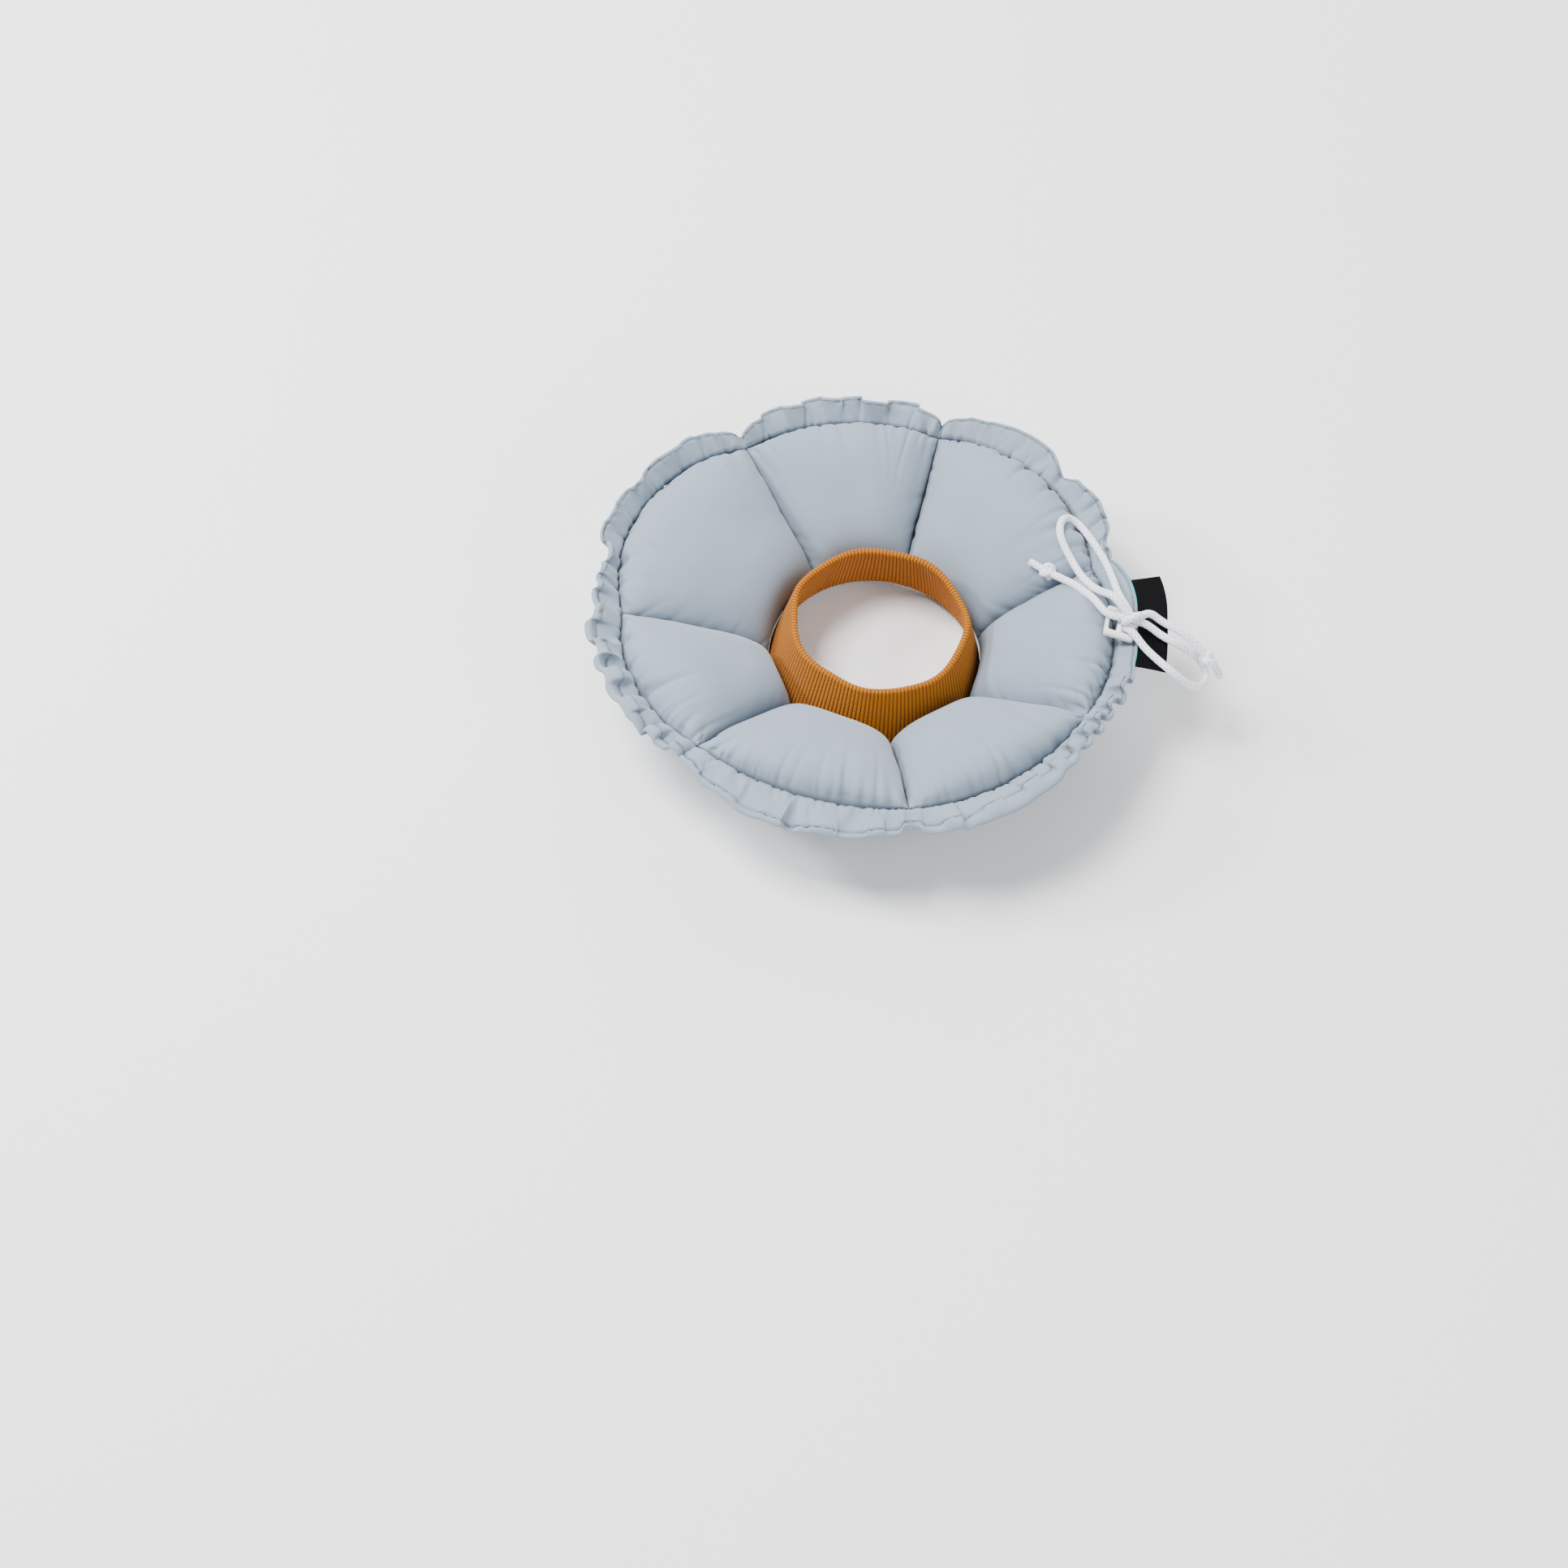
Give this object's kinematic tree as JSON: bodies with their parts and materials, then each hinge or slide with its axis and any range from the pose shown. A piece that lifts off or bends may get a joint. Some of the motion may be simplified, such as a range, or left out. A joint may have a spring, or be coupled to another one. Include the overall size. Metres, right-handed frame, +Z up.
{
  "type": "soft elizabethan collar",
  "caption": "Stuffed cloth recovery collar of petal-shaped cushions round a rib-knit neck cuff, with a gathered drawstring rim, a slider, a tied bow and a bare side label.",
  "frame": {"origin": "centre of the base on the surface that the collar rests on, with the neck's vertical axis through it", "axes": "+X towards the slider, the bow and the label, +Z up, from the neck towards the face"},
  "size_m": [0.2954, 0.2517, 0.0643],
  "materials": {
    "poplin": "matte",
    "rib_knit": "matte",
    "cord_cotton": "matte",
    "label_tape": "matte",
    "slider_plastic": "glossy"
  },
  "bodies": {
    "root": {"petal_1": "poplin", "petal_2": "poplin", "petal_3": "poplin", "petal_4": "poplin", "petal_5": "poplin", "petal_6": "poplin", "petal_7": "poplin", "rim_casing": "poplin", "neck_cuff": "rib_knit", "side_label": "label_tape", "cord_slider": "slider_plastic", "cord_lead_a": "cord_cotton", "cord_lead_b": "cord_cotton", "bow_knot": "cord_cotton", "inner_loop": "cord_cotton", "outer_loop": "cord_cotton", "inner_tail": "cord_cotton", "outer_tail": "cord_cotton", "inner_end_knot": "cord_cotton", "outer_end_knot": "cord_cotton", "inner_tip": "cord_cotton", "outer_tip": "cord_cotton"}
  },
  "joints": []
}
